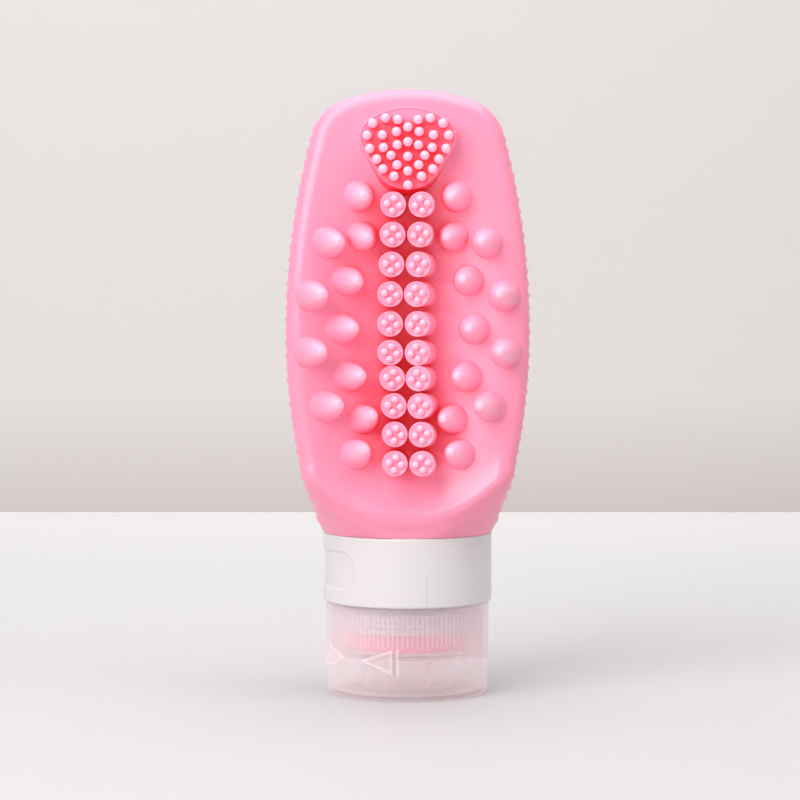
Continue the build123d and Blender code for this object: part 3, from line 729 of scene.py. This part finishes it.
def hinge_place(turn, radius, along, rise):
    """A place at an angle from the front, so far out, then so far sideways and above the fold."""
    turn = np.radians(turn)
    out = np.array([np.sin(turn), -np.cos(turn), 0.0])
    side = np.array([np.cos(turn), np.sin(turn), 0.0])
    return out * radius + side * along + np.array([0.0, 0.0, FOLD_HEIGHT + rise])


def rod(start, end, radius, steps=10):
    """A straight rod with round ends, turned about the line from start to end.

    Its side axis is the cross product with a level way that no rod follows."""
    length = np.linalg.norm(end - start)
    grow = (end - start) / length
    side = np.cross(NO_ROD_WAY, grow)
    side /= np.linalg.norm(side)
    ends = dome(radius, 0, -radius)[::-1], dome(radius, length, length + radius)
    axes = np.stack([side, np.cross(grow, side), grow])
    return lathe(np.concatenate(ends), steps) @ axes + start


web_half = FOLD_RADIUS * np.sin(np.radians(WEB_HALF_ANGLE))
web_plane = FOLD_RADIUS * np.cos(np.radians(WEB_HALF_ANGLE))
ridges = []
web_corners = (
    (WEB_TIP - web_half, 0.0),
    (web_half - WEB_BASE, WEB_TALL - WEB_CORNER),
    (web_half - WEB_BASE, WEB_CORNER - WEB_TALL),
)
for name, body, way in (("web_ridges_front", "web_front", 1), ("web_ridges_back", "web_back", -1)):
    middle = HINGE_TURN + way * WEB_MIDDLE
    corners = [hinge_place(middle, web_plane, way * along, rise) for along, rise in web_corners]
    rods = [rod(corners[a], corners[b], WEB_RIDGE) for a, b in ((0, 1), (1, 2), (2, 0))]
    ridges.append(make_piece(name, rods, body))
for name, body, low, high in (
    ("upright_ridges_cap", "cap", WEB_CORNER, WEB_TALL - WEB_BASE),
    ("upright_ridges_lid", "lid", WEB_BASE - WEB_TALL, -WEB_CORNER),
):
    rods = [
        rod(*(hinge_place(turn, UPRIGHT_AT, 0.0, rise) for rise in (low, high)), UPRIGHT_RIDGE)
        for turn in (HINGE_TURN + UPRIGHT_TURN, HINGE_TURN - UPRIGHT_TURN)
    ]
    ridges.append(make_piece(name, rods, body))

# %% [markdown]
# ## Crests of the grip ribs
# Ninety-six upright ribs stand between the two skirts of the cap. Through the frosted wall only
# their crests catch the light, as two rows of short pale strokes. Each stroke is a thin rod that
# lies on its rib's crest, in the whiter ridge finish with its painted glow, so the strokes are the
# real crests and partly a painted highlight.

# %% Rib crests
RIB_COUNT, RIB_CREST, STROKE_RADIUS = 96, 17.6, 0.17
STROKES = (12.7, 16.0), (16.9, 19.5)
# Painted highlight: pale glowing rods on the rib crests.
crest_rods = []
for step in range(RIB_COUNT):
    turn_out = 2 * np.pi * step / RIB_COUNT
    way_out = np.array([np.cos(turn_out), np.sin(turn_out), 0.0]) * RIB_CREST
    for low, high in STROKES:
        ends = way_out + [0.0, 0.0, low], way_out + [0.0, 0.0, high]
        crest_rods.append(rod(*ends, STROKE_RADIUS, 6))
crests = make_piece("rib_crests_painted_highlight", crest_rods, "cap")

# %% [markdown]
# ## Smooth walls for the turned mouldings
# The cap, the lid and the small rings keep the shape of their CAD nodes. Their meshes are
# loose flat triangles, and through a clear wall every facet would show as a stripe. A copy
# has its points merged and is shaded smooth, with an edge kept wherever two faces meet at
# more than 30 degrees.


# %% Smooth copies
SHARP_ANGLE = float(np.radians(30.0))


def smooth_copy(node_name, name, body):
    """The node's mesh with merged points, smooth faces and sharp edges above the angle."""
    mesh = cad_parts[node_name].data.copy()
    build = bmesh.new()
    build.from_mesh(mesh)
    bmesh.ops.remove_doubles(build, verts=build.verts, dist=MERGE_MM * MM)
    for face in build.faces:
        face.smooth = True
    for edge in build.edges:
        edge.smooth = len(edge.link_faces) == 2 and edge.calc_face_angle(0) < SHARP_ANGLE
    build.to_mesh(mesh)
    build.free()
    mesh.name = name
    piece = enter(name, mesh, body)
    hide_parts(node_name)
    return piece


cap = smooth_copy("screw_cap", "frosted_cap", "cap")
lid = smooth_copy("flip_lid", "clear_lid", "lid")
retainer = smooth_copy("valve_retainer", "snap_ring", "valve_group")
names_ring = smooth_copy("label_ring", "inner_band", "bottle")

# %% [markdown]
# ## Finishes
# Colours are written as the hex values a colour picker gives, and one function turns them
# into the linear numbers that a shader expects. One more function adds a node, sets it and
# links it, so each material reads like a list.


# %% Material helpers
def linear(code):
    """sRGB to linear: below 0.04045 divide by 12.92, above it ((c + 0.055) / 1.055)^2.4."""
    value = np.array([int(code[i : i + 2], 16) for i in (1, 3, 5)]) / 255
    value = np.where(value <= 0.04045, value / 12.92, ((value + 0.055) / 1.055) ** 2.4)
    return (*value.tolist(), 1.0)


def add_node(tree, kind, settings=None, values=None, links=None):
    """Adds one node, then its settings, socket values and incoming links."""
    made = tree.nodes.new(kind)
    for name, value in (settings or {}).items():
        setattr(made, name, value)
    for name, value in (values or {}).items():
        made.inputs[name].default_value = value
    for name, socket in (links or {}).items():
        tree.links.new(socket, made.inputs[name])
    return made


def start_material(name):
    """A material with an empty tree, its output and Object coordinates."""
    material = bpy.data.materials.new(name)
    material.use_nodes = True
    tree = material.node_tree
    tree.nodes.clear()
    output = add_node(tree, "ShaderNodeOutputMaterial")
    place = add_node(tree, "ShaderNodeTexCoord").outputs["Object"]
    return material, tree, output, place


def per_metre(size_mm):
    """Scale of a pattern whose features are size_mm wide, on coordinates in metres."""
    return 1000 / size_mm


def wear(*objects, material):
    """Gives each object the one material."""
    for item in objects:
        item.data.materials.clear()
        item.data.materials.append(material)


# %% [markdown]
# ### Liquid silicone rubber
# The pouch is moulded silicone with a fine matte mould finish. Light enters it a little way, which
# softens the shadows. Deep between the posts the rubber looks red, from light that has travelled
# through it. That red is painted: an occlusion node finds those hidden places, the colour there is
# painted a deeper red as painted shade, and a weak painted red glow stands in for the light from
# inside. Thin forms, such as the pins and the tips of the nubs, let more light through: they are
# painted paler and given a weak painted glow. The posts and pins also get paler copies of the
# silicone, and the pad a stronger painted shade, as painted light and shade. The neck is hidden
# inside the cap, so the painted shade and glow fade out where the collar begins. The clouds are the
# slight unevenness of the tint, and the grain is the mould's.

# %% Silicone
CLOUD_MM, GRAIN_MM = 25, 0.35
SKY_REACH = 12 * MM
COLLAR_FADE = {"From Min": 34 * MM, "From Max": 40 * MM}
# Painted light and shade: the glow numbers set a painted glow, the first colour below is a painted
# shade for hidden places, and the other two tint the painted glow.
GLOW_SKY, GLOW_HIDDEN, GLOW_THIN, THIN_POWER = (0.9, 0.3), 0.16, 0.13, 1.6
PAINTED_SHADE_RED, PAINTED_GLOW_PALE, PAINTED_GLOW_RED = "#DE3D4B", "#FFA2BC", "#F02838"
# The mix node's inputs 6 and 7 are its two colours, and output 2 is the mixed one. The
# other gives input 0 times input 1 plus input 2.
COLOUR_MIX = "ShaderNodeMix", {"data_type": "RGBA"}
SCALE_ADD = "ShaderNodeMath", {"operation": "MULTIPLY_ADD"}


def moulded_grain(tree, place, size_mm, detail, strength):
    """The unevenness of a moulded surface: a noise as the height of a bump, as a normal."""
    noise = add_node(
        tree,
        "ShaderNodeTexNoise",
        values={"Scale": per_metre(size_mm), "Detail": detail},
        links={"Vector": place},
    )
    bump = add_node(
        tree,
        "ShaderNodeBump",
        values={"Strength": strength, "Distance": 0.1 * MM},
        links={"Height": noise.outputs["Fac"]},
    )
    return bump.outputs["Normal"]


def silicone_rubber(name, dark, pale, painted_tip_tone, sky_share=(0.38, 0.08), painted_tip_glow=0.0):
    """Matte silicone between two tones, with painted light and shade: painted paler towards the
    tips, painted a deeper red where little sky is seen.

    Thin places also pass light on: a weak painted glow stands in for it, from a given least
    strength up to more at the tips, and more again where little sky is seen."""
    material, tree, output, place = start_material(name)
    clouds = add_node(
        tree,
        "ShaderNodeTexNoise",
        values={"Scale": per_metre(CLOUD_MM), "Detail": 2},
        links={"Vector": place},
    )
    tones = {6: linear(dark), 7: linear(pale)}
    tone = add_node(tree, *COLOUR_MIX, tones, {"Factor": clouds.outputs["Fac"]})
    up = add_node(tree, "ShaderNodeAttribute", {"attribute_name": "tip_light_share"})
    thinner = add_node(
        tree, "ShaderNodeMath", {"operation": "POWER"}, {1: THIN_POWER}, {0: up.outputs["Fac"]}
    )
    # Painted light: the tips are painted paler, by the share up the nub.
    from_tone = {"Factor": thinner.outputs["Value"], 6: tone.outputs[2]}
    tone = add_node(tree, *COLOUR_MIX, {7: linear(painted_tip_tone)}, from_tone)
    height = add_node(tree, "ShaderNodeSeparateXYZ", links={"Vector": place}).outputs["Z"]
    above_neck = add_node(tree, "ShaderNodeMapRange", None, COLLAR_FADE, {"Value": height})
    open_sky = add_node(
        tree, "ShaderNodeAmbientOcclusion", {"samples": 8}, {"Distance": SKY_REACH}
    )
    # Masks for painted shade and painted glow, strongest where the occlusion node sees little sky.
    hidden = {}
    for use, least, most in (("painted_shade", *sky_share), ("glow", *GLOW_SKY)):
        share = add_node(
            tree,
            "ShaderNodeMapRange",
            values={"From Min": least, "From Max": most},
            links={"Value": open_sky.outputs["AO"]},
        )
        both = {0: share.outputs["Result"], 1: above_neck.outputs["Result"]}
        product = add_node(tree, "ShaderNodeMath", {"operation": "MULTIPLY"}, links=both)
        hidden[use] = product.outputs["Value"]
    # Painted glow: emission from a given least strength, more towards the tips and where little sky
    # is seen.
    light_up = {1: GLOW_THIN, 2: painted_tip_glow}
    through = add_node(tree, *SCALE_ADD, light_up, {0: thinner.outputs["Value"]})
    both = {0: hidden["glow"], 2: through.outputs["Value"]}
    glow = add_node(tree, *SCALE_ADD, {1: GLOW_HIDDEN}, both)
    # Painted shade: the colour deepens to red in hidden places, and the painted glow turns from
    # pale to red there too.
    reds = {"Factor": hidden["painted_shade"], 6: tone.outputs[2]}
    depth = add_node(tree, *COLOUR_MIX, {7: linear(PAINTED_SHADE_RED)}, reds)
    lights = {6: linear(PAINTED_GLOW_PALE), 7: linear(PAINTED_GLOW_RED)}
    painted_rubber_glow = add_node(tree, *COLOUR_MIX, lights, {"Factor": hidden["painted_shade"]})
    shine = add_node(
        tree,
        "ShaderNodeBsdfPrincipled",
        values={
            "Roughness": 0.32,
            "IOR": 1.41,
            "Specular IOR Level": 0.85,
            "Subsurface Weight": 0.3,
            "Subsurface Radius": (1.0, 0.25, 0.3),
            "Subsurface Scale": 1.2 * MM,
        },
        links={
            "Emission Color": painted_rubber_glow.outputs[2],
            "Base Color": depth.outputs[2],
            "Normal": moulded_grain(tree, place, GRAIN_MM, detail=1, strength=0.06),
            "Emission Strength": glow.outputs["Value"],
        },
    )
    tree.links.new(shine.outputs["BSDF"], output.inputs["Surface"])
    return material


skin_rubber = silicone_rubber("moulded_silicone_rubber", "#F990AE", "#FB96B4", "#FFB2CA")
# The posts and pins get paler copies of the same silicone as painted light, and the pins a painted
# glow. The pad gets a stronger painted shade between its pins.
post_rubber_painted_light = silicone_rubber("moulded_silicone_posts_painted_light", "#FB9EBA", "#FCA4C0", "#FCA4C0")
pad_rubber_painted_shade = silicone_rubber(
    "moulded_silicone_pad_painted_shade", "#F990AE", "#FB96B4", "#FB96B4", sky_share=(0.66, 0.2)
)
pin_rubber_painted_light = silicone_rubber(
    "moulded_silicone_pins_painted_light", "#FFB4CA", "#FFB9D0", "#FFB9D0", painted_tip_glow=0.12
)
wear(pouch, nubs, material=skin_rubber)
wear(posts, material=post_rubber_painted_light)
wear(pad, material=pad_rubber_painted_shade)
wear(pins, pad_pins, material=pin_rubber_painted_light)
print("silicone finishes:", skin_rubber.name, post_rubber_painted_light.name, pad_rubber_painted_shade.name, pin_rubber_painted_light.name)

# %% [markdown]
# ### Milky and clear polypropylene
# The ring is white polypropylene, the cap is the same plastic left uncoloured and frosted, and the
# lid is the clearest of the three. They differ in how much light goes through and how rough the
# surface is. The cap, the lid and the ridges also get a painted glow, a weak pale pink emission
# that stands in for light spread inside the plastic and for pink light from the pouch. The flow of
# the melt leaves a very slight waviness, a few millimetres wide, and the ridges look whiter because
# they are thick and narrow. The soft valve inside uses the same shell with its own numbers.


# %% Polypropylene in three grades
# Tint of the painted glow of the plastics: a pale pink that stands in for light spread inside them
# and for pink light from the pouch.
PAINTED_PLASTIC_GLOW_TINT = "#FFE8ED"


def polypropylene(name, colour, seen, edge, milky, roughness, flow_mm, painted_plastic_glow):
    """Moulded polypropylene: a shell that hides only a share of what lies behind it.

    The share rises from seen, where the wall faces the eye, to edge, where the eye looks along the
    wall and through more of it. Of the shell, the milky part passes light on, and the last number
    is the strength of a painted glow: a pale pink emission that stands in for light spread inside
    the plastic and for pink light from the pouch."""
    material, tree, output, place = start_material(name)
    facing = add_node(tree, "ShaderNodeLayerWeight", values={"Blend": 0.35})
    share = add_node(
        tree,
        "ShaderNodeMapRange",
        values={"To Min": seen, "To Max": edge},
        links={"Value": facing.outputs["Facing"]},
    )
    shell = add_node(
        tree,
        "ShaderNodeBsdfPrincipled",
        values={
            "Base Color": linear(colour),
            "Roughness": roughness,
            "IOR": 1.49,
            "Emission Color": linear(PAINTED_PLASTIC_GLOW_TINT),
            "Emission Strength": painted_plastic_glow,
        },
        links={"Normal": moulded_grain(tree, place, flow_mm, detail=2, strength=0.05)},
    )
    glow = add_node(tree, "ShaderNodeBsdfTranslucent", values={"Color": linear(colour)})
    milk = add_node(
        tree,
        "ShaderNodeMixShader",
        values={"Fac": milky},
        links={1: shell.outputs["BSDF"], 2: glow.outputs["BSDF"]},
    )
    clear = add_node(tree, "ShaderNodeBsdfTransparent")
    mixed = add_node(
        tree,
        "ShaderNodeMixShader",
        links={"Fac": share.outputs["Result"], 1: clear.outputs["BSDF"], 2: milk.outputs["Shader"]},
    )
    tree.links.new(mixed.outputs["Shader"], output.inputs["Surface"])
    return material


# For each grade: colour, seen, edge, milky, roughness, flow_mm and the strength of its painted glow
GRADES = {
    "white_polypropylene": ("#D8D2D3", 1.0, 1.0, 0.0, 0.38, 6.0, 0.0),
    "frosted_polypropylene": ("#F6EDF0", 0.16, 0.72, 0.5, 0.32, 4.0, 0.1),
    "clear_polypropylene": ("#F4EBED", 0.13, 0.58, 0.5, 0.16, 9.0, 0.28),
    "white_ridge_polypropylene": ("#FBF4F7", 0.24, 0.5, 0.4, 0.3, 4.0, 0.14),
    "clear_valve_silicone": ("#F2DDE3", 0.6, 0.8, 0.4, 0.4, 2.0, 0.0),
}
white_pp, frosted_pp, clear_pp, ridge_pp, valve_rubber = [
    polypropylene(name, *grade) for name, grade in GRADES.items()
]
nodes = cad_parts
wear(ring, collar, names_ring, material=white_pp)
wear(cap, retainer, material=frosted_pp)
wear(lid, nodes["hinge_web_front"], nodes["hinge_web_back"], material=clear_pp)
wear(*ridges, crests, material=ridge_pp)
wear(valve, material=valve_rubber)
print("cap finishes:", ", ".join(GRADES))

# %% [markdown]
# ## Floor, light and camera
# The floor is a wide pale sheet that rises to a pale wall behind. Its tone holds painted light and
# shade: the floor is painted darker towards the front and paler towards the wall, and the wall is
# painted darker at its foot, where the lamps' light falls off. The light is a large soft lamp from
# the upper left, a weaker one from the right, one overhead and a pale world. The sheet is clear
# from its rear side, so a camera behind the wall still sees the bottle, and the world looks paler
# to the camera than the light that it gives.

# %% Floor and wall
SHEET_REACH, WALL_Y, BEND_RADIUS = 2600.0, 471.0, 0.3
# Painted light and shade on the sheet: the floor is painted darkest at the first Y and paler up to
# the wall, and the wall is painted darker at its foot, up to the height given.
DARK_FLOOR_Y, PALE_WALL_Z, FLOOR_POWER = -86.0, 50.0, 2.2


def stage_sheet():
    """A sheet whose section goes along the floor, bends up in a quarter circle and rises."""
    bend = np.linspace(0, np.pi / 2, 24)
    bend_y = WALL_Y + BEND_RADIUS * np.sin(bend)
    bend_z = BEND_RADIUS - BEND_RADIUS * np.cos(bend)
    section = np.concatenate(
        [
            [(-SHEET_REACH, 0.0), (-300.0, 0.0)],
            np.stack([bend_y, bend_z], axis=-1),
            [(WALL_Y + BEND_RADIUS, SHEET_REACH)],
        ]
    )
    sides = [np.insert(section, 0, x, axis=1) for x in (-SHEET_REACH, SHEET_REACH)]
    grid = np.stack(sides, axis=1)
    mesh = bpy.data.meshes.new("studio_sheet")
    rows, columns = grid.shape[:2]
    mesh.from_pydata(grid.reshape(-1, 3) * MM, [], grid_faces(rows, columns).tolist())
    sheet = bpy.data.objects.new("studio_sheet", mesh)
    bpy.context.scene.collection.objects.link(sheet)
    return sheet


sheet = stage_sheet()
paper, tree, output, place = start_material("matte_studio_paper")
axes = add_node(tree, "ShaderNodeSeparateXYZ", links={"Vector": place})
shares = {}
for part, axis, least_mm, most_mm in (
    ("far", "Y", DARK_FLOOR_Y, WALL_Y),
    ("rise", "Z", 0.0, BEND_RADIUS),
    ("high", "Z", BEND_RADIUS, PALE_WALL_Z),
):
    shares[part] = add_node(
        tree,
        "ShaderNodeMapRange",
        values={"From Min": least_mm * MM, "From Max": most_mm * MM},
        links={"Value": axes.outputs[axis]},
    ).outputs["Result"]
# Painted light and shade: floor tones paler towards the wall, wall tones darker at its foot.
paler = add_node(
    tree, "ShaderNodeMath", {"operation": "POWER"}, {1: FLOOR_POWER}, {0: shares["far"]}
)
painted_floor_tones = {6: linear("#BFBEBF"), 7: linear("#E3E2E2")}
painted_wall_tones = {6: linear("#B9B3B1"), 7: linear("#CBC6C5")}
painted_floor_tone = add_node(tree, *COLOUR_MIX, painted_floor_tones, {"Factor": paler.outputs["Value"]})
painted_wall_tone = add_node(tree, *COLOUR_MIX, painted_wall_tones, {"Factor": shares["high"]})
painted_paper_tone = add_node(
    tree,
    *COLOUR_MIX,
    links={"Factor": shares["rise"], 6: painted_floor_tone.outputs[2], 7: painted_wall_tone.outputs[2]},
)
matte = add_node(
    tree,
    "ShaderNodeBsdfPrincipled",
    values={"Roughness": 0.6},
    links={"Base Color": painted_paper_tone.outputs[2]},
)
rear = add_node(tree, "ShaderNodeNewGeometry").outputs["Backfacing"]
clear = add_node(tree, "ShaderNodeBsdfTransparent")
one_sided = add_node(
    tree,
    "ShaderNodeMixShader",
    links={"Fac": rear, 1: matte.outputs["BSDF"], 2: clear.outputs["BSDF"]},
)
tree.links.new(one_sided.outputs["Shader"], output.inputs["Surface"])
wear(sheet, material=paper)
print("floor and wall:", sheet.name, "wall at Y", WALL_Y, "mm")


# %% Lamps and world
def lamp(name, place_mm, target_mm, side_mm, watts):
    """A square white area lamp that looks at a place; sizes in mm."""
    data = bpy.data.lights.new(name, "AREA")
    data.shape = "SQUARE"
    data.size = side_mm * MM
    data.energy = watts
    light = bpy.data.objects.new(name, data)
    light.location = Vector(place_mm) * MM
    aim = Vector(target_mm) * MM - light.location
    light.rotation_euler = aim.to_track_quat("-Z", "Y").to_euler()
    bpy.context.scene.collection.objects.link(light)
    return light


lamp("key_softbox", (-520, -660, 540), (0, 0, 75), side_mm=720, watts=8.0)
fill = lamp("right_fill", (840, -260, 260), (0, 0, 70), side_mm=600, watts=2.0)
fill.visible_glossy = False
lamp("top_sheet", (0, -60, 800), (0, 0, 60), side_mm=900, watts=6.8)
world = bpy.data.worlds.new("pale_room")
bpy.context.scene.world = world
world.use_nodes = True
tree = world.node_tree
given = tree.nodes["Background"]
given.inputs["Color"].default_value = linear("#F2F1F0")
given.inputs["Strength"].default_value = 0.34
paper_white = {"Color": linear("#E6E3E2"), "Strength": 1.0}
shown = add_node(tree, "ShaderNodeBackground", values=paper_white)
seen = add_node(tree, "ShaderNodeLightPath").outputs["Is Camera Ray"]
both = add_node(
    tree,
    "ShaderNodeMixShader",
    links={"Fac": seen, 1: given.outputs["Background"], 2: shown.outputs["Background"]},
)
tree.links.new(both.outputs["Shader"], tree.nodes["World Output"].inputs["Surface"])

# %% [markdown]
# The camera stands where the photograph seems to be taken from, 613 mm in front of the
# bottle, 96.4 mm up and tilted down a little. Its lens is the focal length in pixels over
# the picture's width in pixels, times the sensor's width.

# %% Camera
SENSOR_MM, FOCAL_PIXELS, PICTURE_PIXELS, TILT_DEG = 36, 2623, 800, 2.62
camera_data = bpy.data.cameras.new("photo_camera")
camera_data.sensor_width = SENSOR_MM
camera_data.lens = FOCAL_PIXELS / PICTURE_PIXELS * SENSOR_MM
camera = bpy.data.objects.new("photo_camera", camera_data)
camera.location = Vector((EYE_ACROSS, -EYE_DISTANCE, EYE_HEIGHT)) * MM
camera.rotation_euler = (np.radians(90 - TILT_DEG), 0, 0)
bpy.context.scene.collection.objects.link(camera)
bpy.context.scene.camera = camera
bpy.context.scene.view_settings.view_transform = "Standard"
bpy.context.scene.cycles.diffuse_bounces = 8
bpy.context.scene.cycles.transparent_max_bounces = 32
